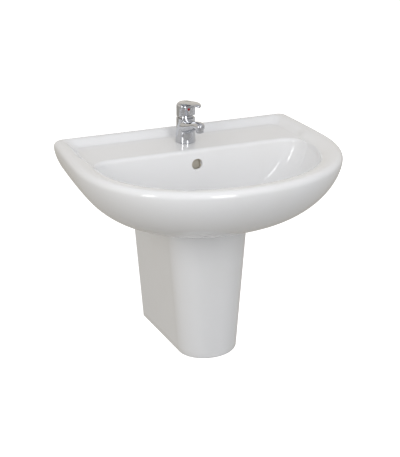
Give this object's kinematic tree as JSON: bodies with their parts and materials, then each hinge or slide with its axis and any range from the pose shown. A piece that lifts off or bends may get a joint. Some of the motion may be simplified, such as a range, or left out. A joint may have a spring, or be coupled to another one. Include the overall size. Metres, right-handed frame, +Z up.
{
  "type": "semi-pedestal washbasin",
  "caption": "Wall-hung ceramic washbasin on a half pedestal, with a single-lever mixer tap, push-open waste, bottle trap and wall valves.",
  "frame": {"origin": "on the wall face, midway between the two studs that hold the basin", "axes": "+Y into the wall, so the basin reaches towards -Y; +X to the right seen from the room; +Z up"},
  "size_m": [0.65, 0.51, 0.6262],
  "materials": {
    "glazed_ceramic": "gloss white glaze on vitreous china",
    "chrome": "polished chrome plate",
    "brass": "plain turned brass",
    "zinc_steel": "zinc-plated steel",
    "copper": "bare copper tube",
    "black_rubber": "matt black rubber",
    "white_nylon": "moulded white nylon",
    "white_plastic": "moulded white polypropylene",
    "grey_plastic": "moulded grey plastic",
    "red_enamel": "red indicator plug"
  },
  "bodies": {
    "root": {"basin": "glazed_ceramic", "half_pedestal": "glazed_ceramic", "tap_body": "chrome", "cartridge_body": "grey_plastic", "cartridge_nut": "brass", "cartridge_cap": "chrome", "aerator_housing": "chrome", "aerator_insert": "grey_plastic", "aerator_seal": "black_rubber", "tap_gasket": "black_rubber", "tap_stud": "zinc_steel", "horseshoe_seal": "black_rubber", "horseshoe_plate": "zinc_steel", "tap_nut": "brass", "waste_top_seal": "black_rubber", "waste_flange": "chrome", "waste_bottom_seal": "black_rubber", "waste_locknut": "brass", "clicker_body": "brass", "trap_inlet_nut": "white_plastic", "trap_inlet_seal": "black_rubber", "trap_dip_tube": "white_plastic", "trap_body": "white_plastic", "trap_cup": "white_plastic", "trap_outlet_pipe": "white_plastic", "trap_outlet_nut": "white_plastic", "trap_rosette": "chrome", "hot_tail": "copper", "hot_tail_nut": "chrome", "hot_valve": "chrome", "hot_valve_rosette": "chrome", "cold_tail": "copper", "cold_tail_nut": "chrome", "cold_valve": "chrome", "cold_valve_rosette": "chrome", "wall_stud_left": "zinc_steel", "stud_sleeve_left": "white_nylon", "stud_washer_left": "zinc_steel", "stud_nut_left": "zinc_steel", "pedestal_stud_left": "zinc_steel", "pedestal_nut_left": "white_nylon", "wall_stud_right": "zinc_steel", "stud_sleeve_right": "white_nylon", "stud_washer_right": "zinc_steel", "stud_nut_right": "zinc_steel", "pedestal_stud_right": "zinc_steel", "pedestal_nut_right": "white_nylon"},
    "rotor": {"cartridge_rotor": "white_nylon", "stem_pin": "zinc_steel"},
    "lever": {"lever": "chrome", "lever_screw": "zinc_steel", "lever_plug": "red_enamel", "lever_stem": "zinc_steel"},
    "plug": {"plug_cap": "chrome", "plug_seal": "black_rubber", "plug_stem": "brass"},
    "hot_knob": {"hot_valve_knob": "chrome"},
    "cold_knob": {"cold_valve_knob": "chrome"}
  },
  "joints": [
    {"name": "lever_swivel", "type": "hinge", "parent": "root", "child": "rotor", "pos_m": [0, -0.084, 0.135], "axis": [0, 0, 1], "range_deg": [-50, 50]},
    {"name": "lever_lift", "type": "hinge", "parent": "rotor", "child": "lever", "pos_m": [0, -0.084, 0.135], "axis": [-1, 0, 0], "range_deg": [0, 25]},
    {"name": "plug_slide", "type": "slide", "parent": "root", "child": "plug", "axis": [0, 0, -1], "range_m": [0, 0.0066]},
    {"name": "hot_knob_turn", "type": "hinge", "parent": "root", "child": "hot_knob", "pos_m": [-0.062, -0.05, -0.282], "axis": [0, 1, 0], "range_deg": [0, 90]},
    {"name": "cold_knob_turn", "type": "hinge", "parent": "root", "child": "cold_knob", "pos_m": [0.062, -0.05, -0.282], "axis": [0, -1, 0], "range_deg": [0, 90]}
  ]
}
